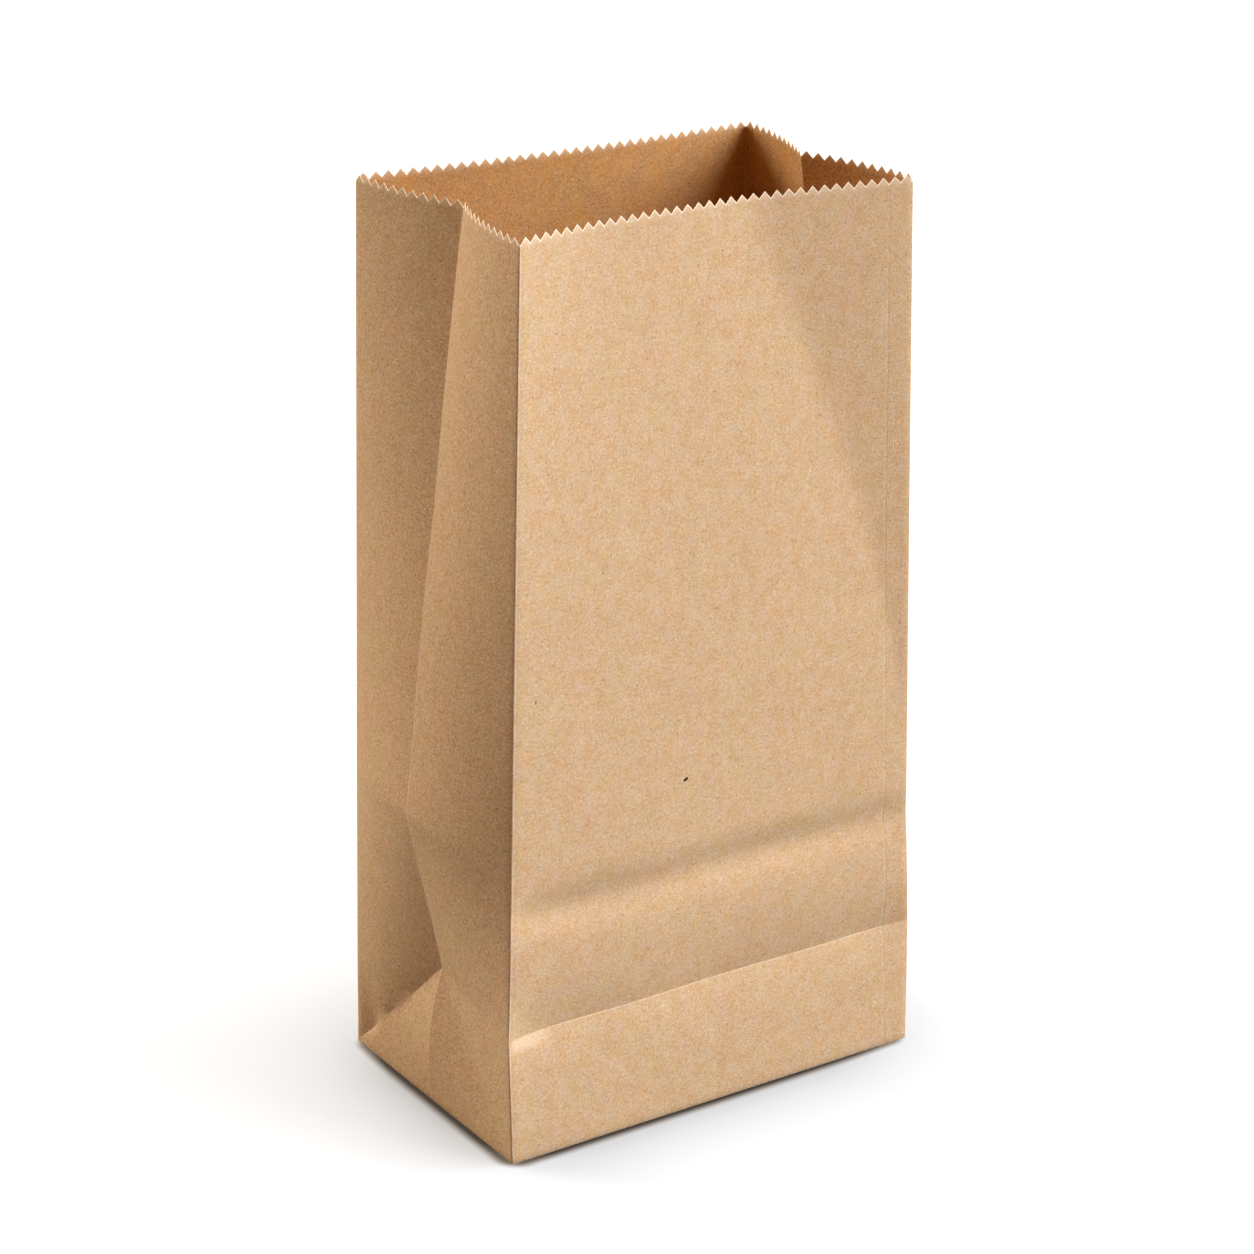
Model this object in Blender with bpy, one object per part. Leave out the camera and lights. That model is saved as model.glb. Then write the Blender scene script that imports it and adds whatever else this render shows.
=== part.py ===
"""A self-opening paper bag, standing open.

One sheet of kraft paper: a tube with gusseted sides, glued at a lap beside one corner, closed by a folded
bottom and cut to a serrated rim. The tube is scored while it is straight, folded, and then given the
thickness of the paper. Where the sheet lies double or treble, each ply more is one thickness of relief.

Metres, +Z up. The origin is the middle of the base, on the surface that the bag stands on. The wide front
panel, with the lap and the two storage creases, faces -Y.
"""

import math

import bmesh
import bpy
from mathutils import Vector

MM = 0.001

# Paper and tube
PAPER = 0.12 * MM
BAG_WIDTH = 180.0 * MM
BAG_DEPTH = 114.0 * MM
BAG_HEIGHT = 339.5 * MM
LAP_WIDTH = 10.3 * MM

# Serrated cut, the same at the rim and on the bottom flap
TOOTH_PITCH = 5.14 * MM
TOOTH_HEIGHT = 2.5 * MM

# Folded bottom: how far the outer flap reaches past the middle
FLAP_OVERLAP = 8.0 * MM

# Creases left across the front panel by flat storage: a sharp lower one and a soft upper one, their heights,
# how deep they are at the middle and how far below and above themselves they pull the paper
LOWER_CREASE_HEIGHT = 49.5 * MM
LOWER_CREASE_DENT = 3.4 * MM
REACH_BELOW = 13.0 * MM
REACH_ABOVE = 24.0 * MM
UPPER_CREASE_HEIGHT = 96.0 * MM
UPPER_CREASE_DENT = 2.2 * MM
UPPER_CREASE_REACH = 13.0 * MM

# How far the front corners stand out: both at the lower crease, and the left one still at the upper crease
LEFT_CORNER_KINK = 2.0 * MM
LEFT_CORNER_BOW = 1.4 * MM
RIGHT_CORNER_KINK = 1.6 * MM

# How far the wide panels bow inwards at the rim. The front has a plateau on the left, which grows towards the
# rim and tilts a little, and a straight slope from it to the right corner.
FRONT_BOW = 9.6 * MM
FRONT_BOW_EASE = 1.9
PLATEAU_WIDTH = 108.0 * MM
PLATEAU_TILT = 0.25
RIGHT_SLOPE = 0.135
BEND_SOFTNESS = 0.1
BACK_BOW = 4.5 * MM

# Middle crease of a gusset: inwards at its apex over the bottom, outwards at the belly, inwards at the rim
APEX_HEIGHT = 54.0 * MM
APEX_PUSH = 4.2 * MM
BELLY_HEIGHT = 119.0 * MM
BELLY_BULGE = 10.6 * MM
RIM_PUSH = 11.8 * MM
PUSH_EASE = 1.15

# How far each half of a gusset is crowned, and how far its middle crease stands out below the apex
GUSSET_CROWN = 3.0 * MM
FOOT_RIDGE = 3.2 * MM

# How far each corner of the rim leans in from the corner of the base below it
FRONT_LEFT_LEAN = Vector((4.7, 0.0, 0.0)) * MM
FRONT_RIGHT_LEAN = Vector((-6.8, 6.4, 0.0)) * MM
BACK_LEFT_LEAN = Vector((6.6, -1.5, 0.0)) * MM
BACK_RIGHT_LEAN = Vector((-2.5, 0.0, 0.0)) * MM

# Facets across each panel, and up the walls above the belly
WIDE_COLUMNS = 9
GUSSET_COLUMNS = 8
WALL_ROWS = 8
SMOOTH_BELOW = math.radians(14)

KRAFT_BROWN = (0.60, 0.39, 0.22, 1.0)
KRAFT_ROUGHNESS = 0.85

HALF_WIDTH = BAG_WIDTH / 2
HALF_DEPTH = BAG_DEPTH / 2
SHEET_BASE = 2 * PAPER
CUT_HEIGHT = BAG_HEIGHT - TOOTH_PITCH
LAP_EDGE = HALF_WIDTH - LAP_WIDTH
ON_THE_LINE = PAPER

FRONT_DENTS = (
    (0.0, 0.0),
    (LOWER_CREASE_HEIGHT - REACH_BELOW, LOWER_CREASE_DENT / 3),
    (LOWER_CREASE_HEIGHT, LOWER_CREASE_DENT),
    (LOWER_CREASE_HEIGHT + REACH_ABOVE, 0.0),
    (UPPER_CREASE_HEIGHT, UPPER_CREASE_DENT),
    (UPPER_CREASE_HEIGHT + UPPER_CREASE_REACH, 0.0),
)
LEFT_KINKS = (
    (0.0, 0.0),
    (LOWER_CREASE_HEIGHT, LEFT_CORNER_KINK),
    (UPPER_CREASE_HEIGHT, LEFT_CORNER_BOW),
    (BAG_HEIGHT, 0.0),
)
RIGHT_KINKS = (
    (0.0, 0.0),
    (LOWER_CREASE_HEIGHT, RIGHT_CORNER_KINK),
    (UPPER_CREASE_HEIGHT, 0.0),
)


def through(stations, height):
    """The value at a height, on straight lines through (height, value) pairs."""
    low, value = stations[0]
    for high, next_value in stations[1:]:
        if height <= high:
            return value + (next_value - value) * (height - low) / (high - low)
        low, value = high, next_value
    return value


def rising(height, start):
    """The share of the way from a starting height up to the rim."""
    return max(0.0, (height - start) / (BAG_HEIGHT - start))


def teeth_in(length):
    """Whole teeth cut along a straight edge of this length."""
    return max(1, round(length / TOOTH_PITCH))


def columns_across(half, teeth, columns):
    """Places between two corners, at about equal spaces that each hold whole teeth."""
    return [half * (2 * round(teeth * column / columns) / teeth - 1) for column in range(1, columns)]


def straight_tube(bm):
    """The tube before it is folded: four walls and a closed bottom, open at the top."""
    bmesh.ops.create_cube(bm, size=1)
    bmesh.ops.delete(bm, geom=[face for face in bm.faces if face.normal.z > 0.5], context="FACES_ONLY")
    bmesh.ops.scale(bm, vec=(BAG_WIDTH, BAG_DEPTH, BAG_HEIGHT - SHEET_BASE), verts=bm.verts)
    bmesh.ops.translate(bm, vec=(0, 0, (BAG_HEIGHT + SHEET_BASE) / 2), verts=bm.verts)


def score(bm, place, across, wanted):
    """Presses a line into the wanted faces, where the plane through place and square to across meets them."""
    bm.normal_update()
    faces = [face for face in bm.faces if wanted(face)]
    edges = {edge for face in faces for edge in face.edges}
    corners = {vert for face in faces for vert in face.verts}
    bmesh.ops.bisect_plane(
        bm, geom=faces + list(edges) + list(corners), plane_co=place, plane_no=across, dist=ON_THE_LINE
    )


def is_wide(face):
    return abs(face.normal.y) > 0.5


def is_front(face):
    return face.normal.y < -0.5


def is_gusset(face):
    return abs(face.normal.x) > 0.5


def is_wall(face):
    return abs(face.normal.z) < 0.5


def score_walls(bm):
    """Columns, rows, the diagonal folds of the gussets and the edge of the lap."""
    for x in columns_across(HALF_WIDTH, teeth_in(BAG_WIDTH), WIDE_COLUMNS):
        score(bm, (x, 0, 0), (1, 0, 0), is_wide)
    for y in columns_across(HALF_DEPTH, 2 * teeth_in(HALF_DEPTH), GUSSET_COLUMNS):
        score(bm, (0, y, 0), (0, 1, 0), is_gusset)

    creases = [height for height, dent in FRONT_DENTS[1:]]
    upper_rows = [
        BELLY_HEIGHT + (CUT_HEIGHT - BELLY_HEIGHT) * row / WALL_ROWS for row in range(1, WALL_ROWS + 1)
    ]
    for height in creases + [APEX_HEIGHT, BELLY_HEIGHT] + upper_rows:
        score(bm, (0, 0, height), (0, 0, 1), is_wall)

    for end, corner_height in ((-1, SHEET_BASE), (1, SHEET_BASE), (-1, LOWER_CREASE_HEIGHT)):
        score(
            bm,
            (0, end * HALF_DEPTH, corner_height),
            (0, APEX_HEIGHT - corner_height, end * HALF_DEPTH),
            lambda face: is_gusset(face) and face.calc_center_median().y * end > 0,
        )


def cut_teeth(bm, edges, out, outside):
    """Serrates straight edges: every second point between two roots moves outwards to a tip."""
    for edge in edges:
        root = edge.verts[0].co.copy()
        run = edge.verts[1].co - root
        points = 2 * teeth_in(run.length)
        cut = bmesh.ops.subdivide_edges(bm, edges=[edge], cuts=points - 1)
        for vert in {item for item in cut["geom_inner"] if isinstance(item, bmesh.types.BMVert)}:
            step = round(points * (vert.co - root).dot(run) / run.length_squared)
            if step % 2:
                vert.co += outside * out


def under_front_flap(face):
    middle = face.calc_center_median()
    reach = HALF_WIDTH - HALF_DEPTH - middle.y
    return not is_wall(face) and middle.y < FLAP_OVERLAP and abs(middle.x) < reach


def under_flaps(face):
    middle = face.calc_center_median()
    reach = HALF_WIDTH - HALF_DEPTH + middle.y
    return under_front_flap(face) or not is_wall(face) and abs(middle.x) < reach


def is_flap_edge(edge):
    """Whether the edge is part of the front flap's cut edge, which crosses the middle of the bottom."""
    on_line = all(abs(vert.co.y - FLAP_OVERLAP) < ON_THE_LINE for vert in edge.verts)
    return on_line and any(under_front_flap(face) for face in edge.link_faces)


def score_bottom(bm):
    """Outlines of the two flaps: each is mitred from the corners, and the front one lies outermost."""
    score(bm, (0, FLAP_OVERLAP, 0), (0, 1, 0), lambda face: not is_wall(face))
    for side in (-1, 1):
        score(
            bm,
            (side * HALF_WIDTH, -HALF_DEPTH, 0),
            (side, 1, 0),
            lambda face: not is_wall(face) and face.calc_center_median().y < FLAP_OVERLAP,
        )
    for side in (-1, 1):
        score(
            bm,
            (side * HALF_WIDTH, HALF_DEPTH, 0),
            (side, -1, 0),
            lambda face: not is_wall(face) and not under_front_flap(face),
        )


def rim_lean(across, along):
    """How the rim leans over a place of the base, between its four corners."""
    front = FRONT_LEFT_LEAN.lerp(FRONT_RIGHT_LEAN, (across + 1) / 2)
    back = BACK_LEFT_LEAN.lerp(BACK_RIGHT_LEAN, (across + 1) / 2)
    return front.lerp(back, (along + 1) / 2)


def foot_push(away, height):
    """How far inwards a gusset lies below its folds: a triangle with a ridge up its middle."""
    rise = height / APEX_HEIGHT
    if rise >= 1 - away:
        return APEX_PUSH * (1 - away)
    return APEX_PUSH * rise - FOOT_RIDGE * 4 * rise * (1 - rise - away)


def gusset_push(along, height):
    """How far inwards a gusset lies, at a share of the half depth from its middle crease."""
    away = abs(along)
    fold_height = APEX_HEIGHT * (1 - away)
    if along < 0:
        fold_height += LOWER_CREASE_HEIGHT * away
    if height <= fold_height:
        return foot_push(away, height)
    crown = GUSSET_CROWN * 4 * away * (1 - away)
    if height < BELLY_HEIGHT:
        rise = (height - fold_height) / (BELLY_HEIGHT - fold_height)
        crease = APEX_PUSH - (BELLY_BULGE + APEX_PUSH) * rise
        crown *= math.sqrt(rise)
    else:
        crease = -BELLY_BULGE + (BELLY_BULGE + RIM_PUSH) * rising(height, BELLY_HEIGHT) ** PUSH_EASE
    return crease * (1 - away) - crown


def front_bow(across, height):
    """How far inwards the front lies above its creases: the lesser of plateau and slope, with a soft bend."""
    depth = FRONT_BOW * rising(height, UPPER_CREASE_HEIGHT) ** FRONT_BOW_EASE
    share = (1 + across) * HALF_WIDTH / PLATEAU_WIDTH
    plateau = depth * ((1 - PLATEAU_TILT) * (1 - (1 - share) ** 4) + PLATEAU_TILT * share)
    slope = RIGHT_SLOPE * (1 - across) * HALF_WIDTH
    return (plateau + slope - math.hypot(plateau - slope, BEND_SOFTNESS * depth)) / 2


def folded(point):
    """Where a point of the straight tube lies once the bag is folded and stands open."""
    across = point.x / HALF_WIDTH
    along = point.y / HALF_DEPTH
    height = point.z
    place = point + rim_lean(across, along) * (height / BAG_HEIGHT)
    if along < 0:
        dent = through(FRONT_DENTS, height) * (1 - across**4)
        place.y -= (dent + front_bow(across, height)) * along
    else:
        place.y -= BACK_BOW * (1 - across**2) * rising(height, SHEET_BASE) * along
    kinks = LEFT_KINKS if across < 0 else RIGHT_KINKS
    outwards = through(kinks, height) * max(0.0, -along) - gusset_push(along, height)
    place.x += outwards * across * abs(across)
    return place


def add_ply(bm, faces, outwards):
    """Lays one more thickness of paper on the faces, and gives the faces that are outermost then."""
    laid = bmesh.ops.extrude_face_region(bm, geom=faces)["geom"]
    corners = [item for item in laid if isinstance(item, bmesh.types.BMVert)]
    bmesh.ops.translate(bm, vec=outwards * PAPER, verts=corners)
    bmesh.ops.delete(bm, geom=faces, context="FACES")
    return [item for item in laid if isinstance(item, bmesh.types.BMFace)]


def fold_bag(bm):
    """Scores and cuts the straight tube, folds it, gives it its thickness and lays the doubled plies."""
    straight_tube(bm)
    score_walls(bm)
    cut_teeth(bm, [edge for edge in bm.edges if edge.is_boundary], TOOTH_HEIGHT, Vector((0, 0, 1)))
    score(bm, (LAP_EDGE, 0, 0), (1, 0, 0), is_front)
    score_bottom(bm)
    flap_edge = [edge for edge in bm.edges if is_flap_edge(edge)]
    cut_teeth(bm, flap_edge, TOOTH_HEIGHT, Vector((0, 1, 0)))

    bm.normal_update()
    lap = [face for face in bm.faces if is_front(face) and face.calc_center_median().x > LAP_EDGE]
    flaps = [face for face in bm.faces if under_flaps(face)]
    for vert in bm.verts:
        vert.co = folded(vert.co)
    bmesh.ops.solidify(bm, geom=bm.faces[:], thickness=PAPER)

    down = Vector((0, 0, -1))
    add_ply(bm, lap, Vector((0, -1, 0)))
    laid = add_ply(bm, flaps, down)
    bm.normal_update()
    add_ply(bm, [face for face in laid if under_front_flap(face)], down)


def kraft_paper():
    material = bpy.data.materials.new("kraft_paper")
    material.use_nodes = True
    shader = material.node_tree.nodes["Principled BSDF"]
    shader.inputs["Base Color"].default_value = KRAFT_BROWN
    shader.inputs["Roughness"].default_value = KRAFT_ROUGHNESS
    shader.inputs["Metallic"].default_value = 0.0
    return material


def paper_bag():
    """The whole bag: one sheet, so one solid."""
    bm = bmesh.new()
    fold_bag(bm)
    mesh = bpy.data.meshes.new("paper_bag")
    bm.to_mesh(mesh)
    bm.free()
    mesh.shade_smooth()
    mesh.set_sharp_from_angle(angle=SMOOTH_BELOW)
    mesh.materials.append(kraft_paper())
    bag = bpy.data.objects.new("paper_bag", mesh)
    bpy.context.scene.collection.objects.link(bag)


for old in list(bpy.data.objects):
    bpy.data.objects.remove(old)
paper_bag()
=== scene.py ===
"""A self-opening kraft paper bag, standing open on a pale floor."""

import math

import bmesh
import bpy
from mathutils import Matrix, Vector, noise


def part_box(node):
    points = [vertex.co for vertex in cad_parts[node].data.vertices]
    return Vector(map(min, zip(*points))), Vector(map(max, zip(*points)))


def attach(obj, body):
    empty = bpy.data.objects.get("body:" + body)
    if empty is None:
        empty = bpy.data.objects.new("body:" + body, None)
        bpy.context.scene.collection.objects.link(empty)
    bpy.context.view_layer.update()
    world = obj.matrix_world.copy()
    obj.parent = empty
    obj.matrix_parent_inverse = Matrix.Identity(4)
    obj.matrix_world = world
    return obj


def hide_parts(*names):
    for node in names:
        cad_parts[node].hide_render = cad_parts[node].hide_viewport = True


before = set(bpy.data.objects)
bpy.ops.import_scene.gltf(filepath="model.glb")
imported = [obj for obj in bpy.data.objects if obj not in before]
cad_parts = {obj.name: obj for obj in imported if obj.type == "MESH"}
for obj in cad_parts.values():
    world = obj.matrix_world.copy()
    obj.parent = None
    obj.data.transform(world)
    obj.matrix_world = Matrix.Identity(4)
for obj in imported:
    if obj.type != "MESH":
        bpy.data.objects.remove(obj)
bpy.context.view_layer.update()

# The bag is one sheet of brown kraft paper. A machine forms it into a tube with gusseted sides, glues a lap
# beside the right front corner, folds and glues the bottom, and cuts the bag off with a serrated knife.
# Flat storage has left two creases across the front.
MM = 0.001
PAPER = 0.12 * MM
PRESSED = 0.35
SHARP_ABOVE = math.radians(40)
FACING = 0.9
ALONG = 0.99
BAG_WIDTH = 180.0 * MM
BAG_DEPTH = 2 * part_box("paper_bag")[1].y
TOOTH_HEIGHT = 2.5 * MM
BAG_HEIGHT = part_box("paper_bag")[1].z - TOOTH_HEIGHT
FOLD_RADIUS = 0.6 * MM
LAP_WIDTH = 10.3 * MM
FLAP_OVERLAP = 8.0 * MM
FLAP_TOOTH = 2.0 * MM
RIM_BAND = 0.45 * MM

# Where the folds and creases run, counted round the tube from the middle of the front.
HALF_WIDTH = BAG_WIDTH / 2
HALF_DEPTH = BAG_DEPTH / 2
SHEET_BASE = 2 * PAPER
LAP_EDGE = HALF_WIDTH - LAP_WIDTH
FRONT_LEFT_FOLD = -HALF_WIDTH
LEFT_CREASE = FRONT_LEFT_FOLD - HALF_DEPTH
BACK_LEFT_FOLD = LEFT_CREASE - HALF_DEPTH
BACK_MIDDLE = BACK_LEFT_FOLD - HALF_WIDTH
BACK_RIGHT_FOLD = BACK_LEFT_FOLD - BAG_WIDTH
RIGHT_CREASE = BACK_RIGHT_FOLD - HALF_DEPTH
FRONT_RIGHT_FOLD = RIGHT_CREASE - HALF_DEPTH

# The teeth of the rim, each a little different.
WIDE_TEETH = 35
GUSSET_TEETH = 22
TOOTH_STEP = BAG_WIDTH / WIDE_TEETH / 2
TOOTH_WAVE = 2 * MM
TIP_UNEVEN = 0.1
ROOT_UNEVEN = 0.12

# The two storage creases, and how they move the corners beside them.
LOWER_CREASE_HEIGHT = 49.5 * MM
LOWER_CREASE_DENT = 3.4 * MM
REACH_BELOW = 13.0 * MM
REACH_ABOVE = 28.0 * MM
LOWER_CREASE_WAVE = 60 * MM
LOWER_CREASE_UNEVEN = 0.3
UPPER_CREASE_HEIGHT = 96.0 * MM
UPPER_CREASE_DENT = 2.2 * MM
UPPER_CREASE_REACH = 7.5 * MM
UPPER_CREASE_WAVE = 70 * MM
UPPER_CREASE_UNEVEN = 0.4
CREASE_HOLD = 10
LEFT_CORNER_KINK = 2.0 * MM
LEFT_CORNER_BOW = 1.4 * MM
RIGHT_CORNER_KINK = 1.6 * MM
RIGHT_CORNER_FOOT = 0.8 * MM
RIGHT_CORNER_FADE = 0.45
RIGHT_CORNER_SLIDE = 0.37

# The way the open bag stands: its panels bow, its gussets bulge below and sink in above, and its rim leans.
FRONT_BOW = 9.6 * MM
FRONT_BOW_EASE = 1.9
FRONT_BOW_SPAN = 1.22
FRONT_BOW_SHOULDER = 0.75
FRONT_BOW_SOFTNESS = 0.1
RIGHT_SLOPE = 0.135
BACK_BOW = 4.5 * MM
APEX_HEIGHT = 54.0 * MM
APEX_PUSH = 4.2 * MM
BELLY_HEIGHT = 119.0 * MM
BELLY_BULGE = 10.6 * MM
RIM_PUSH = 11.8 * MM
PUSH_EASE = 1.15
GUSSET_CROWN = 3.0 * MM
FOOT_RIDGE = 3.2 * MM
POCKET = 1.8 * MM
POCKET_PLACE = 0.82
POCKET_SPREAD = 0.12
POCKET_HEIGHT = 10 * MM
POCKET_RISE = 14 * MM
COCKLE_HEIGHT = 0.5 * MM
COCKLE_LENGTH = 55 * MM
CRINKLE_HEIGHT = 0.12 * MM
CRINKLE_LENGTH = 17 * MM
STIFF_FOOT = 30 * MM
FRONT_LEFT_LEAN = Vector((4.7, 0.0, 0.0)) * MM
FRONT_RIGHT_LEAN = Vector((-6.8, 6.4, 0.0)) * MM
BACK_LEFT_LEAN = Vector((6.6, -1.5, 0.0)) * MM
BACK_RIGHT_LEAN = Vector((-2.5, 0.0, 0.0)) * MM


def straight_tube(bm):
    """The tube before it is folded, open at the top, with its folds rounded."""
    bmesh.ops.create_cube(bm, size=1)
    bmesh.ops.delete(bm, geom=[face for face in bm.faces if face.normal.z > 0.5], context="FACES_ONLY")
    bmesh.ops.scale(bm, vec=(BAG_WIDTH, BAG_DEPTH, BAG_HEIGHT - SHEET_BASE), verts=bm.verts)
    bmesh.ops.translate(bm, vec=(0, 0, (BAG_HEIGHT + SHEET_BASE) / 2), verts=bm.verts)
    bmesh.ops.bevel(
        bm,
        geom=[edge for edge in bm.edges if not edge.is_boundary],
        offset=FOLD_RADIUS,
        offset_type="OFFSET",
        segments=3,
        profile=0.5,
        affect="EDGES",
        material=-1,
    )


def score(bm, place, across, wanted):
    """Presses a line into the wanted faces, where they meet the plane through place, square to across."""
    bm.normal_update()
    faces = [face for face in bm.faces if wanted(face)]
    edges = {edge for face in faces for edge in face.edges}
    corners = {vert for face in faces for vert in face.verts}
    bmesh.ops.bisect_plane(
        bm, geom=faces + list(edges) + list(corners), plane_co=place, plane_no=across, dist=PAPER / 2
    )


def divide(bm, direction, spacing):
    """Cuts every long edge that runs in a direction into equal steps."""
    steps = {}
    for edge in bm.edges:
        run = edge.verts[1].co - edge.verts[0].co
        if abs(run.dot(direction)) > ALONG * run.length and run.length > 2 * FOLD_RADIUS:
            steps.setdefault(round(run.length / spacing), []).append(edge)
    for count, edges in steps.items():
        if count > 1:
            bmesh.ops.subdivide_edges(bm, edges=edges, cuts=count - 1)


def is_front(face):
    return face.normal.y < -FACING


def is_gusset(face):
    return abs(face.normal.x) > FACING


def is_bottom(face):
    return face.normal.z < -FACING


def under_front_flap(face):
    middle = face.calc_center_median()
    reach = HALF_WIDTH - HALF_DEPTH - middle.y
    return is_bottom(face) and middle.y < FLAP_OVERLAP and abs(middle.x) < reach


def under_flaps(face):
    middle = face.calc_center_median()
    under_back = is_bottom(face) and abs(middle.x) < HALF_WIDTH - HALF_DEPTH + middle.y
    return under_front_flap(face) or under_back


def through(stations, height):
    """The value at a height, on straight lines through (height, value) pairs."""
    low, value = stations[0]
    for high, next_value in stations[1:]:
        if height <= high:
            return value + (next_value - value) * (height - low) / (high - low)
        low, value = high, next_value
    return value


def rising(height, start):
    """The share of the way from a starting height up to the rim."""
    return max(0.0, (height - start) / (BAG_HEIGHT - start))


def ripple(place, wavelength, seed):
    """A smooth random wave between about -1 and 1."""
    return noise.noise(place / wavelength + Vector((seed, -seed, seed / 3)))


def foot_push(away, height):
    """How far inwards a gusset lies below its folds: a triangle with a ridge up its middle."""
    rise = height / APEX_HEIGHT
    if rise >= 1 - away:
        return APEX_PUSH * (1 - away)
    return APEX_PUSH * rise - FOOT_RIDGE * 4 * rise * (1 - rise - away)


def pocket(along, height):
    """The small hollow above the foot, beside the back corner."""
    sideways = (along - POCKET_PLACE) / POCKET_SPREAD
    upwards = (height - POCKET_HEIGHT) / POCKET_RISE
    return POCKET * math.exp(-(sideways**2) - upwards**2)


def gusset_push(along, height):
    """How far inwards a gusset lies, at a share of the half depth from its middle crease."""
    away = abs(along)
    fold_height = APEX_HEIGHT * (1 - away)
    if along < 0:
        fold_height += LOWER_CREASE_HEIGHT * away
    if height <= fold_height:
        return foot_push(away, height)
    crown = GUSSET_CROWN * 4 * away * (1 - away)
    if height < BELLY_HEIGHT:
        rise = (height - fold_height) / (BELLY_HEIGHT - fold_height)
        crease = APEX_PUSH + (-BELLY_BULGE - APEX_PUSH) * rise
        return crease * (1 - away) - crown * math.sqrt(rise) + pocket(along, height)
    crease = -BELLY_BULGE + (BELLY_BULGE + RIM_PUSH) * rising(height, BELLY_HEIGHT) ** PUSH_EASE
    return crease * (1 - away) - crown


def front_dent(point):
    """How far inwards the two storage creases pull the front: a sharp one below, a soft one above."""
    above = (point.z - LOWER_CREASE_HEIGHT) / REACH_ABOVE
    if above > 0:
        lower = max(0.0, 1 - above) ** 2
    else:
        lower = math.exp(above * REACH_ABOVE / REACH_BELOW) * min(1.0, point.z / REACH_BELOW)
    upper = math.exp(-(((point.z - UPPER_CREASE_HEIGHT) / UPPER_CREASE_REACH) ** 2))
    lower *= 1 + LOWER_CREASE_UNEVEN * ripple(point, LOWER_CREASE_WAVE, seed=3.0)
    upper *= 1 + UPPER_CREASE_UNEVEN * ripple(point, UPPER_CREASE_WAVE, seed=8.0)
    return LOWER_CREASE_DENT * lower + UPPER_CREASE_DENT * upper


def front_bow(across, height):
    """How far inwards the front lies higher up: a plateau on the left, a slope up to the right corner."""
    depth = FRONT_BOW * rising(height, UPPER_CREASE_HEIGHT) ** FRONT_BOW_EASE
    share = (across + 1) / FRONT_BOW_SPAN
    shoulder = 1 - (1 - share) ** 4
    plateau = depth * (FRONT_BOW_SHOULDER * shoulder + (1 - FRONT_BOW_SHOULDER) * share)
    slope = RIGHT_SLOPE * (1 - across) * HALF_WIDTH
    softness = FRONT_BOW_SOFTNESS * depth
    return (plateau + slope - math.hypot(plateau - slope, softness)) / 2


def rim_lean(across, along):
    """How the rim leans over a place of the base, between its four corners."""
    front = FRONT_LEFT_LEAN.lerp(FRONT_RIGHT_LEAN, (across + 1) / 2)
    back = BACK_LEFT_LEAN.lerp(BACK_RIGHT_LEAN, (across + 1) / 2)
    return front.lerp(back, (along + 1) / 2)


LEFT_KINKS = (
    (0.0, 0.0),
    (LOWER_CREASE_HEIGHT, LEFT_CORNER_KINK),
    (UPPER_CREASE_HEIGHT, LEFT_CORNER_BOW),
    (BAG_HEIGHT, 0.0),
)
RIGHT_KINKS = (
    (0.0, RIGHT_CORNER_FOOT),
    (LOWER_CREASE_HEIGHT, RIGHT_CORNER_KINK),
    (UPPER_CREASE_HEIGHT, 0.0),
)


def folded(point):
    """Where a point of the straight tube lies once the bag is folded and stands open."""
    across = point.x / HALF_WIDTH
    along = point.y / HALF_DEPTH
    height = point.z
    place = point + rim_lean(across, along) * (height / BAG_HEIGHT)
    if along < 0:
        dent = front_dent(point)
        faded = dent * abs(across) ** CREASE_HOLD
        if across > 0:
            place.x -= RIGHT_CORNER_SLIDE * faded * along
            faded *= RIGHT_CORNER_FADE
        place.y -= (dent - faded + front_bow(across, height)) * along
    else:
        place.y -= BACK_BOW * (1 - across**2) * rising(height, SHEET_BASE) * along
    kinks = LEFT_KINKS if across < 0 else RIGHT_KINKS
    outwards = through(kinks, height) * max(0.0, -along) - gusset_push(along, height)
    place.x += outwards * across * abs(across)

    cockle = COCKLE_HEIGHT * ripple(point, COCKLE_LENGTH, seed=1.0)
    cockle += CRINKLE_HEIGHT * ripple(point, CRINKLE_LENGTH, seed=5.0)
    cockle *= min(1.0, height / STIFF_FOOT)
    place.y += cockle * (1 - across**4) * along
    place.x += cockle * (1 - along**4) * across
    return place


def cut_rim(bm):
    """Serrates the open edge: every second point rises to a tip."""
    flat_width = HALF_WIDTH - FOLD_RADIUS
    flat_depth = HALF_DEPTH - FOLD_RADIUS
    for vert in [vert for vert in bm.verts if vert.is_boundary]:
        if abs(vert.co.x) < flat_width + PAPER:
            step = round((vert.co.x / flat_width + 1) * WIDE_TEETH)
        else:
            step = round((vert.co.y / flat_depth + 1) * GUSSET_TEETH)
        if step % 2:
            rise = 1 - TIP_UNEVEN * abs(ripple(vert.co, TOOTH_WAVE, seed=2.0))
        else:
            rise = ROOT_UNEVEN * ripple(vert.co, TOOTH_WAVE, seed=6.0)
        vert.co.z += TOOTH_HEIGHT * rise


def cut_flap(bm):
    """Serrates the front flap's cut edge, which crosses the middle of the bottom."""
    reach = HALF_WIDTH - HALF_DEPTH - FLAP_OVERLAP
    for vert in bm.verts:
        on_edge = vert.co.z < SHEET_BASE + PAPER and abs(vert.co.y - FLAP_OVERLAP) < PAPER
        if on_edge and abs(vert.co.x) < reach - PAPER and round(vert.co.x / TOOTH_STEP) % 2:
            vert.co.y += FLAP_TOOTH


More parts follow.
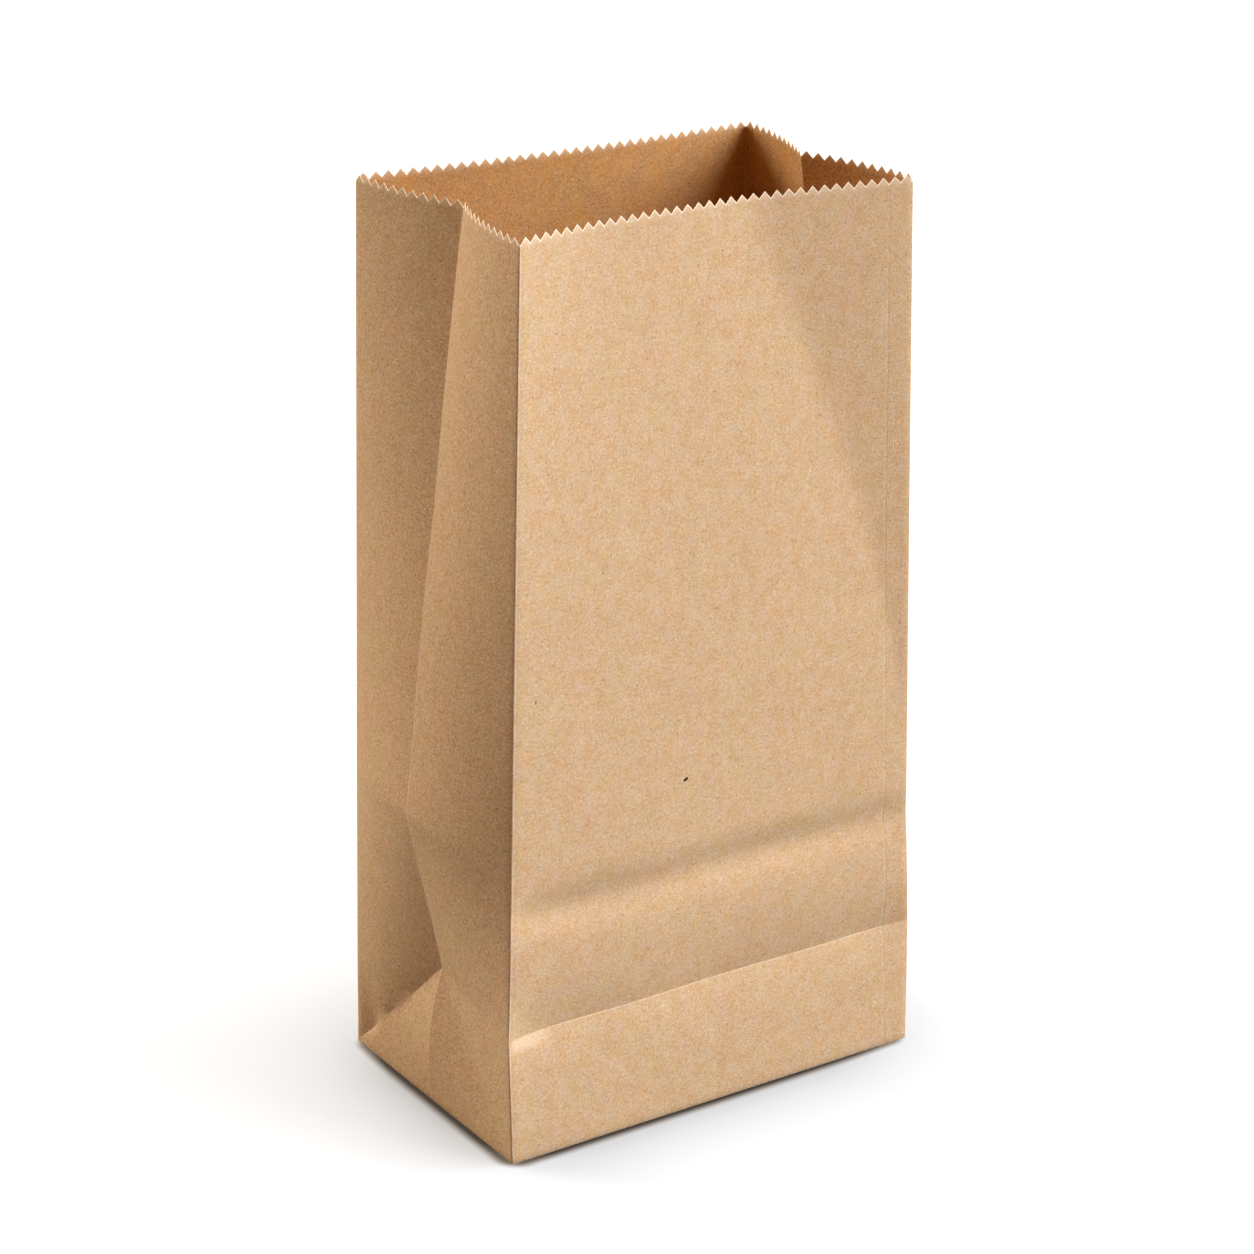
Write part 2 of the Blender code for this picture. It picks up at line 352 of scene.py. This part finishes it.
def sheet_place(middle, x, y, z):
    """Where a point lies on the flat sheet: how far round from the middle of the front, and how high."""
    if z < SHEET_BASE + FOLD_RADIUS / 2 and abs(middle.y) < HALF_DEPTH - FOLD_RADIUS:
        if middle.y < FLAP_OVERLAP:
            return x, -HALF_DEPTH - y
        return BACK_LEFT_FOLD - HALF_WIDTH - x, y - HALF_DEPTH
    if middle.x > LAP_EDGE and middle.y < 0:
        return FRONT_RIGHT_FOLD + (y + HALF_DEPTH) - (HALF_WIDTH - x), z
    if middle.y < 0:
        return x - (y + HALF_DEPTH) * (middle.x < 0), z
    if middle.x < 0:
        return BACK_LEFT_FOLD - (HALF_WIDTH + x) + (HALF_DEPTH - y), z
    return BACK_LEFT_FOLD - (HALF_WIDTH + x) - (HALF_DEPTH - y), z


def add_ply(bm, faces, outwards):
    """Lays one more thickness of paper on the faces, and gives the faces that are outermost then."""
    laid = bmesh.ops.extrude_face_region(bm, geom=faces)["geom"]
    corners = [item for item in laid if isinstance(item, bmesh.types.BMVert)]
    bmesh.ops.translate(bm, vec=outwards * PAPER, verts=corners)
    bmesh.ops.delete(bm, geom=faces, context="FACES")
    return [item for item in laid if isinstance(item, bmesh.types.BMFace)]


def fold_sheet(bm):
    """The finished bag: the tube, its scored lines and cut edges, its folds, and its one to three plies."""
    straight_tube(bm)
    creases = (LOWER_CREASE_HEIGHT, APEX_HEIGHT, UPPER_CREASE_HEIGHT, BELLY_HEIGHT, BAG_HEIGHT - TOOTH_STEP)
    for height in creases:
        score(bm, (0, 0, height), (0, 0, 1), lambda face: True)
    divide(bm, Vector((0, 0, 1)), TOOTH_STEP)
    divide(bm, Vector((1, 0, 0)), TOOTH_STEP)
    divide(bm, Vector((0, 1, 0)), BAG_DEPTH / GUSSET_TEETH / 2)
    cut_rim(bm)
    bm.normal_update()
    bmesh.ops.inset_region(
        bm, faces=bm.faces[:], thickness=RIM_BAND, use_boundary=True, use_even_offset=True
    )
    for end, corner_height in ((-1, SHEET_BASE), (1, SHEET_BASE), (-1, LOWER_CREASE_HEIGHT)):
        score(
            bm,
            (0, end * HALF_DEPTH, corner_height),
            (0, APEX_HEIGHT - corner_height, end * HALF_DEPTH),
            lambda face: is_gusset(face) and face.calc_center_median().y * end > 0,
        )
    score(bm, (LAP_EDGE, 0, 0), (1, 0, 0), is_front)
    score(bm, (0, FLAP_OVERLAP, 0), (0, 1, 0), is_bottom)
    for side in (-1, 1):
        score(
            bm,
            (side * HALF_WIDTH, -HALF_DEPTH, 0),
            (side, 1, 0),
            lambda face: is_bottom(face) and face.calc_center_median().y < FLAP_OVERLAP,
        )
    for side in (-1, 1):
        score(
            bm,
            (side * HALF_WIDTH, HALF_DEPTH, 0),
            (side, -1, 0),
            lambda face: is_bottom(face) and not under_front_flap(face),
        )

    bm.normal_update()
    under_front = bm.faces.layers.int.new("under_front_flap")
    for face in bm.faces:
        face[under_front] = under_front_flap(face)
    lap = [face for face in bm.faces if is_front(face) and face.calc_center_median().x > LAP_EDGE]
    flaps = [face for face in bm.faces if under_flaps(face)]
    cut_flap(bm)
    cut = bm.verts.layers.float.new("cut_edge")
    for vert in bm.verts:
        vert[cut] = 1.0 if vert.is_boundary else 0.0
    flat = bm.loops.layers.uv.new("sheet")
    for face in bm.faces:
        middle = face.calc_center_median()
        for loop in face.loops:
            loop[flat].uv = sheet_place(middle, *loop.vert.co)
    for edge in bm.edges:
        edge.smooth = not is_crease(edge)

    for vert in bm.verts:
        vert.co = folded(vert.co)
    inner = bm.verts.layers.float.new("inner_side")
    outside = set(bm.verts)
    bmesh.ops.solidify(bm, geom=bm.faces[:], thickness=PAPER)
    for vert in bm.verts:
        vert[inner] = float(vert not in outside)
    down = Vector((0, 0, -1))
    add_ply(bm, lap, Vector((0, -PRESSED, 0)))
    laid = add_ply(bm, flaps, down)
    add_ply(bm, [face for face in laid if face[under_front]], down)
    bm.faces.layers.int.remove(under_front)
    for edge in bm.edges:
        if edge.calc_face_angle() > SHARP_ABOVE:
            edge.smooth = False


def is_crease(edge):
    """Whether an edge of the straight tube lies on a fold that stays sharp."""
    first, second = (vert.co for vert in edge.verts)
    on_lower = all(abs(co.z - LOWER_CREASE_HEIGHT) < PAPER for co in (first, second))
    if max(first.y, second.y) < PAPER - HALF_DEPTH:
        return on_lower
    on_gusset = min(abs(first.x), abs(second.x)) > HALF_WIDTH - PAPER
    on_middle = all(abs(co.y) < PAPER for co in (first, second))
    on_back = all(abs(co.z / APEX_HEIGHT + co.y / HALF_DEPTH - 1) < 0.01 for co in (first, second))
    return on_gusset and (on_middle or on_back and min(first.y, second.y) > -PAPER)


bm = bmesh.new()
fold_sheet(bm)
mesh = bpy.data.meshes.new("folded_sheet")
bm.to_mesh(mesh)
bm.free()
mesh.polygons.foreach_set("use_smooth", [True] * len(mesh.polygons))
bag = bpy.data.objects.new("folded_sheet", mesh)
bpy.context.scene.collection.objects.link(bag)


class Signal:
    """A value on its way through a material."""

    def __init__(self, finish, socket):
        self.finish = finish
        self.socket = socket

    def math(self, operation, first, second=0.0):
        return self.finish.node("ShaderNodeMath", {"operation": operation}, {0: first, 1: second})

    def __add__(self, other):
        return self.math("ADD", self, other)

    __radd__ = __add__

    def __sub__(self, other):
        return self.math("SUBTRACT", self, other)

    def __rsub__(self, other):
        return self.math("SUBTRACT", other, self)

    def __mul__(self, other):
        return self.math("MULTIPLY", self, other)

    __rmul__ = __mul__

    def __truediv__(self, other):
        return self.math("DIVIDE", self, other)

    def __abs__(self):
        return self.math("ABSOLUTE", self)

    def least(self, other):
        return self.math("MINIMUM", self, other)

    def most(self, other):
        return self.math("MAXIMUM", self, other)


class Finish:
    """The nodes of a material or of the world."""

    def __init__(self, owner):
        owner.use_nodes = True
        self.tree = owner.node_tree

    def node(self, kind, settings, sockets, output=0):
        node = self.tree.nodes.new(kind)
        for name, value in settings.items():
            setattr(node, name, value)
        for name, value in sockets.items():
            self.feed(node.inputs[name], value)
        return Signal(self, node.outputs[output])

    def feed(self, socket, value):
        if isinstance(value, Signal):
            self.tree.links.new(value.socket, socket)
        else:
            socket.default_value = value

    def mix(self, first, second, share):
        """A colour between two others."""
        return self.node("ShaderNodeMix", {"data_type": "RGBA"}, {"Factor": share, 6: first, 7: second}, 2)

    def ramp(self, value, low, high):
        """A soft step from 0 to 1 as the value goes from low to high."""
        sockets = {"Value": value, "From Min": low, "From Max": high}
        return self.node("ShaderNodeMapRange", {"interpolation_type": "SMOOTHSTEP"}, sockets)

    def stretched(self, vector, across, up):
        """A place on the sheet, counted in steps of a width and a height."""
        scale = (1 / across, 1 / up, 1)
        return self.node("ShaderNodeVectorMath", {"operation": "MULTIPLY"}, {0: vector, 1: scale})

    def noise(self, vector, detail=2.0, twist=0.0):
        sockets = {"Vector": vector, "Scale": 1.0, "Detail": detail, "Roughness": 0.6, "Distortion": twist}
        return self.node("ShaderNodeTexNoise", {"noise_dimensions": "2D"}, sockets)


PALE_FIBRE = (0.80, 0.60, 0.38, 1)
DARK_FIBRE = (0.37, 0.228, 0.115, 1)
PALE_PULP = (0.605, 0.437, 0.29, 1)
ORANGE_PULP = (0.605, 0.385, 0.195, 1)
PINK_PULP = (0.61, 0.39, 0.245, 1)
YELLOW_PULP = (0.58, 0.42, 0.24, 1)
BARK_FLECK = (0.30, 0.13, 0.035, 1)
WORN_AND_LIT_FIBRE = (0.86, 0.69, 0.50, 1)
CUT_FIBRE = (1.0, 0.86, 0.68, 1)
DARK_SPECK = (0.035, 0.012, 0.003, 1)
INNER_SHADE_TINT = (0.765, 0.535, 0.275, 1)

# The width and height of each pattern in the paper, and how strongly it shows.
GRAIN_SIZE = (0.95 * MM, 0.75 * MM)
FIBRE_SIZE = (1.4 * MM, 1.5 * MM)
CURL_SIZE = (2.2 * MM, 2.0 * MM)
MOTTLE_SIZE = (5 * MM, 6 * MM)
CLOUD_SIZE = (9 * MM, 11 * MM)
PULP_SIZE = (17 * MM, 23 * MM)
GRAIN_TONE = 1.75
FIBRE_TONE = 0.8
CURL_TONE = 0.23
BASE_TONE = 0.11
CLOUD_TONE = 0.35
INNER_CLOUD_TONE = 1.3
GUSSET_CONTRAST = 0.5
INNER_CONTRAST = 0.35
PULP_SHARE = 0.35
GUSSET_PULP_SHARE = 0.2
FLECK_SHARE = 0.5
LONG_FLECK_SHARE = 0.8
CREASE_WEAR = 0.45
FOOT_WEAR_AND_HIGHLIGHT = 0.6
RUBBED_HIGHLIGHT = 0.4
LEAST_WEAR_AND_HIGHLIGHT = 0.35
FAINT_SPECK = 0.7
SPECK_SLANT = 0.4
INNER_SHADE = 0.8
INNER_SHADE_CLOUDS = 0.8
RIM_BRUISE = 0.45
GRAIN_RELIEF = 0.6
FIBRE_RELIEF = 0.6
CURL_RELIEF = 0.25
FLECK_RELIEF = 0.3

kraft = bpy.data.materials.new("kraft_paper")
paper = Finish(kraft)
sheet = paper.node("ShaderNodeUVMap", {"uv_map": "sheet"}, {})
round_tube = paper.node("ShaderNodeSeparateXYZ", {}, {0: sheet}, 0)
up_tube = paper.node("ShaderNodeSeparateXYZ", {}, {0: sheet}, 1)
inner_side = paper.node("ShaderNodeAttribute", {"attribute_name": "inner_side"}, {}, 2)

on_gusset = abs(abs(round_tube - BACK_MIDDLE) - (BACK_MIDDLE - RIGHT_CREASE))
on_gusset = 1 - paper.ramp(on_gusset, HALF_DEPTH - MM, HALF_DEPTH + MM)
grain = paper.noise(paper.stretched(sheet, *GRAIN_SIZE), twist=0.8)
fibres = paper.noise(paper.stretched(sheet, *FIBRE_SIZE), twist=1.5)
curls = paper.noise(paper.stretched(sheet, *CURL_SIZE), twist=1.2)
curls = 1 - paper.ramp(abs(curls - 0.5), 0.0, 0.06)
clouds = paper.noise(paper.stretched(sheet, *CLOUD_SIZE), detail=4.0)
mottle = paper.noise(paper.stretched(sheet, *MOTTLE_SIZE), detail=4.0)
pulp = paper.noise(paper.stretched(sheet, *PULP_SIZE), detail=3.0)

tone = GRAIN_TONE * (grain - 0.5) + FIBRE_TONE * (fibres - 0.5) + CURL_TONE * curls - BASE_TONE
tone = (1 + GUSSET_CONTRAST * on_gusset + INNER_CONTRAST * inner_side) * tone
tone = tone + (CLOUD_TONE + INNER_CLOUD_TONE * inner_side) * (clouds - 0.5)
colour = paper.mix(ORANGE_PULP, PALE_PULP, paper.ramp(mottle, 0.35, 0.65))
pulp_colour = paper.mix(PINK_PULP, YELLOW_PULP, paper.ramp(pulp, 0.36, 0.64))
colour = paper.mix(colour, pulp_colour, PULP_SHARE + GUSSET_PULP_SHARE * on_gusset)
colour = paper.mix(colour, PALE_FIBRE, tone)
colour = paper.mix(colour, DARK_FIBRE, -1 * tone)


def flecks(across, up, radius, share):
    """Scattered slivers of bark: one in some cells of the sheet, each of its own strength."""
    cell = {"Vector": paper.stretched(sheet, across, up), "Scale": 1.0, "Randomness": 1.0}
    near = paper.node("ShaderNodeTexVoronoi", {"voronoi_dimensions": "2D"}, cell)
    chance = paper.node("ShaderNodeTexVoronoi", {"voronoi_dimensions": "2D"}, cell, 1)
    chance = paper.node("ShaderNodeSeparateColor", {}, {0: chance})
    there = paper.ramp(chance, 1 - share, 1)
    return there * (1 - paper.ramp(near, 0.3 * radius, radius))


fleck = flecks(across=6 * MM, up=7 * MM, radius=0.09, share=0.4)
long_fleck = flecks(across=25 * MM, up=7 * MM, radius=0.055, share=0.6)
fleck = fleck.most(LONG_FLECK_SHARE * long_fleck)
colour = paper.mix(colour, BARK_FLECK, FLECK_SHARE * fleck)


def beside(value, line, width):
    """Full on a line, and nothing at a width from it."""
    return 1 - paper.ramp(abs(value - line), 0.0, width)


# The folds, creases and lap edges are pale lines, partly worn paper and partly painted highlight: where
# each line runs, how wide and how strong it is. The lines at the lap edges are painted highlight only.
LINES_UP_THE_BAG = (
    (FRONT_LEFT_FOLD + FOLD_RADIUS, 0.8 * MM, 0.5),
    (BACK_LEFT_FOLD, 0.7 * MM, 0.6),
    (BACK_RIGHT_FOLD, 0.7 * MM, 0.6),
    (FRONT_RIGHT_FOLD, 0.7 * MM, 0.6),
    (LEFT_CREASE, 0.5 * MM, 0.45),
    (RIGHT_CREASE, 0.5 * MM, 0.45),
    # The two lines at the lap edges are a painted highlight.
    (FRONT_RIGHT_FOLD - LAP_WIDTH, 0.5 * MM, 0.15),
    (LAP_EDGE - MM, 0.5 * MM, 0.18),
)
WEAR_PATCH = (3 * MM, 7 * MM)
patchy = paper.ramp(paper.noise(paper.stretched(sheet, *WEAR_PATCH)), 0.3, 0.62)
on_front = paper.ramp(round_tube, FRONT_LEFT_FOLD - FOLD_RADIUS, FRONT_LEFT_FOLD)
# A pale line along the bottom fold, partly wear and partly painted highlight, and a worn line along the
# lower crease.
worn_and_lit = FOOT_WEAR_AND_HIGHLIGHT * beside(up_tube, 0.3 * MM, 0.6 * MM)
worn_and_lit = worn_and_lit.most(CREASE_WEAR * on_front * beside(up_tube, LOWER_CREASE_HEIGHT - 0.1 * MM, 0.55 * MM))
for line, width, wear in LINES_UP_THE_BAG:
    worn_and_lit = worn_and_lit.most(wear * beside(round_tube, line, width))
worn_and_lit = worn_and_lit * (LEAST_WEAR_AND_HIGHLIGHT + (1 - LEAST_WEAR_AND_HIGHLIGHT) * patchy)

# Below the lower crease, a little way in from the left fold, the front is rubbed pale and carries a painted
# highlight.
rubbed_highlight = paper.ramp(round_tube, FRONT_LEFT_FOLD, FRONT_LEFT_FOLD + 3 * MM)
rubbed_highlight = rubbed_highlight * (1 - paper.ramp(round_tube, FRONT_LEFT_FOLD + 12 * MM, FRONT_LEFT_FOLD + 21 * MM))
rubbed_highlight = rubbed_highlight * paper.ramp(up_tube, LOWER_CREASE_HEIGHT - 7 * MM, LOWER_CREASE_HEIGHT - 3 * MM)
rubbed_highlight = rubbed_highlight * (1 - paper.ramp(up_tube, LOWER_CREASE_HEIGHT - 0.6 * MM, LOWER_CREASE_HEIGHT))
worn_and_lit = worn_and_lit.most(RUBBED_HIGHLIGHT * rubbed_highlight)
# The pale lines mix wear with painted highlight.
colour = paper.mix(colour, WORN_AND_LIT_FIBRE, worn_and_lit)


def speck(across, up, width, height):
    """A small dark speck in the paper, a little slanted."""
    sideways = round_tube - across
    upwards = up_tube - up - SPECK_SLANT * sideways
    place = beside(sideways, 0.0, width) * beside(upwards, 0.0, height)
    return paper.ramp(place, 0.1, 0.35)


specks = speck(across=-14.9 * MM, up=133.8 * MM, width=1.5 * MM, height=0.85 * MM)
small_speck = speck(across=-80.4 * MM, up=177.6 * MM, width=0.55 * MM, height=0.9 * MM)
specks = specks.most(FAINT_SPECK * small_speck)
colour = paper.mix(colour, DARK_SPECK, specks)

# The inner side gets painted shade, darker and more orange, and the rim is bruised pale by the knife.
inner_shade = inner_side * (INNER_SHADE + INNER_SHADE_CLOUDS * (clouds - 0.5))
multiplied = {"data_type": "RGBA", "blend_type": "MULTIPLY"}
shaded_inside = paper.node("ShaderNodeMix", multiplied, {0: inner_shade, 6: colour, 7: INNER_SHADE_TINT}, 2)
bruised = paper.ramp(up_tube, BAG_HEIGHT - 2 * MM, BAG_HEIGHT + TOOTH_HEIGHT)
colour = paper.mix(shaded_inside, WORN_AND_LIT_FIBRE, RIM_BRUISE * bruised)
cut = paper.node("ShaderNodeAttribute", {"attribute_name": "cut_edge"}, {}, 2)
colour = paper.mix(colour, CUT_FIBRE, paper.ramp(cut, 0.1, 0.65))

relief = GRAIN_RELIEF * grain + FIBRE_RELIEF * fibres + CURL_RELIEF * curls - FLECK_RELIEF * fleck
bump = {"Height": relief, "Strength": 0.6, "Distance": 0.15 * MM}
shader = kraft.node_tree.nodes["Principled BSDF"]
paper.feed(shader.inputs["Base Color"], colour)
paper.feed(shader.inputs["Roughness"], 0.86 - 0.12 * grain)
shader.inputs["Specular IOR Level"].default_value = 0.1
paper.feed(shader.inputs["Normal"], paper.node("ShaderNodeBump", {}, bump))
bag.data.materials.append(kraft)

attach(bag, "root")
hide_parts("paper_bag")

# The floor is a plain white studio surface, wide enough to fill the view. Away from the bag it is as white
# as the room behind it. Close to the bag a shadow is painted in: the floor's glow and grey fade towards
# the base.
WHITE = (1, 1, 1, 1)
BLACK = (0, 0, 0, 1)
FLOOR_REACH = 6
FLOOR_GREY = (0.20, 0.215, 0.235, 1)
CONTACT_GLOW = 0.07
SHADOW_GLOW = 0.38
OPEN_GLOW = 0.55
CONTACT_SHADOW_TINT = (1.0, 0.80, 0.62, 1)
CONTACT_START = 0.5 * MM
CONTACT_REACH = 5.5 * MM
CONTACT_ROUNDING = 6 * MM
SHADOW_REACH = 26 * MM
SHADOW_ROUNDING = 45 * MM
SIDE_CORNER_CONTACT = 1.7 * MM
NEAR_CORNER_SHADOW = 6 * MM

bm = bmesh.new()
bmesh.ops.create_grid(bm, x_segments=1, y_segments=1, size=FLOOR_REACH)
mesh = bpy.data.meshes.new("floor")
bm.to_mesh(mesh)
bm.free()
floor = bpy.data.objects.new("floor", mesh)
bpy.context.scene.collection.objects.link(floor)
white = bpy.data.materials.new("white_floor")
ground = Finish(white)
on_floor = ground.node("ShaderNodeTexCoord", {}, {}, "Object")


def from_base(rounding):
    """How far a place on the floor lies outside the bag's base, taken with rounded corners."""
    corner = (HALF_WIDTH - rounding, HALF_DEPTH - rounding, 0)
    place = ground.node("ShaderNodeVectorMath", {"operation": "ABSOLUTE"}, {0: on_floor})
    place = ground.node("ShaderNodeVectorMath", {"operation": "SUBTRACT"}, {0: place, 1: corner})
    place = ground.node("ShaderNodeVectorMath", {"operation": "MAXIMUM"}, {0: place, 1: (0, 0, 0)})
    return ground.node("ShaderNodeVectorMath", {"operation": "LENGTH"}, {0: place}, "Value") - rounding


# The shadow is wider at the near left corner, and thinner at the corners beside it.
floor_across = ground.node("ShaderNodeSeparateXYZ", {}, {0: on_floor}, 0)
floor_along = ground.node("ShaderNodeSeparateXYZ", {}, {0: on_floor}, 1)
corner_side = (floor_across * floor_along * (1 / (HALF_WIDTH * HALF_DEPTH))).least(1.0).most(-1.0)
corner_side = corner_side * corner_side * corner_side

seen = ground.node("ShaderNodeLightPath", {}, {}, "Is Camera Ray")
near_base = from_base(CONTACT_ROUNDING) - SIDE_CORNER_CONTACT * corner_side.least(0.0)
open_floor = ground.ramp(near_base, CONTACT_START, CONTACT_REACH)
beyond = from_base(SHADOW_ROUNDING) - NEAR_CORNER_SHADOW * corner_side.most(0.0) - CONTACT_REACH
beyond = beyond.most(0.0)
# Painted shadow: the glow and the grey of the floor fade towards the base.
glow = CONTACT_GLOW + SHADOW_GLOW * open_floor + OPEN_GLOW * beyond / (beyond + SHADOW_REACH)
grey = ground.mix(BLACK, FLOOR_GREY, open_floor)
surface = white.node_tree.nodes["Principled BSDF"]
ground.feed(surface.inputs["Base Color"], grey)
surface.inputs["Roughness"].default_value = 1.0
surface.inputs["Specular IOR Level"].default_value = 0.0
tint = ground.mix(CONTACT_SHADOW_TINT, WHITE, open_floor)
ground.feed(surface.inputs["Emission Color"], ground.mix(BLACK, tint, seen * glow))
surface.inputs["Emission Strength"].default_value = 1.0
mesh.materials.append(white)


# The light is soft: a broad cool light from the front right, a weaker warm one from the back left, and the
# warm glow of a room that the camera sees as white.
ROOM_GLOW = (1.0, 0.46, 0.13, 1)
ROOM_STRENGTH = 0.3


def window(name, place, spread, strength, colour):
    """A broad far light that shines from a place to the bag."""
    lamp = bpy.data.lights.new(name, "SUN")
    lamp.angle = math.radians(spread)
    lamp.energy = strength
    lamp.color = colour
    light = bpy.data.objects.new(name, lamp)
    bpy.context.scene.collection.objects.link(light)
    light.location = place
    light.rotation_euler = (-Vector(place)).to_track_quat("-Z", "Y").to_euler()


window("key_light", place=(1.9, -1.36, 1.5), spread=50, strength=5.8, colour=(0.91, 0.96, 1.0))
window("fill_light", place=(-1.15, 2.15, 1.2), spread=36, strength=3.22, colour=(1.0, 0.945, 0.815))
world = bpy.data.worlds.new("pale_room")
bpy.context.scene.world = world
room = Finish(world)
seen = room.node("ShaderNodeLightPath", {}, {}, "Is Camera Ray")
background = world.node_tree.nodes["Background"]
room.feed(background.inputs["Color"], room.mix(ROOM_GLOW, WHITE, seen))
room.feed(background.inputs["Strength"], ROOM_STRENGTH + (1 - ROOM_STRENGTH) * seen)

# The camera stands at the photograph's place, in front and to the left, and looks a little down.
CAMERA_PLACE = Vector((-3.5337, -5.2331, 3.3266)) * BAG_WIDTH
CAMERA_TURN = math.radians(33.88)
CAMERA_TILT = math.radians(-20.6)
CAMERA_ROLL = math.radians(0.47)
CAMERA_LENS = 93.96
CAMERA_SENSOR = 36
camera = bpy.data.objects.new("camera", bpy.data.cameras.new("camera"))
camera.data.lens = CAMERA_LENS
camera.data.sensor_width = CAMERA_SENSOR
bpy.context.scene.collection.objects.link(camera)
ahead = Vector(
    (
        math.sin(CAMERA_TURN) * math.cos(CAMERA_TILT),
        math.cos(CAMERA_TURN) * math.cos(CAMERA_TILT),
        math.sin(CAMERA_TILT),
    )
)
right = Vector((math.cos(CAMERA_TURN), -math.sin(CAMERA_TURN), 0))
up = right.cross(ahead)
axes = Matrix((right, up, -ahead)).transposed().to_4x4() @ Matrix.Rotation(CAMERA_ROLL, 4, "Z")
camera.matrix_world = Matrix.Translation(CAMERA_PLACE) @ axes
bpy.context.scene.camera = camera
bpy.context.scene.view_settings.view_transform = "Standard"
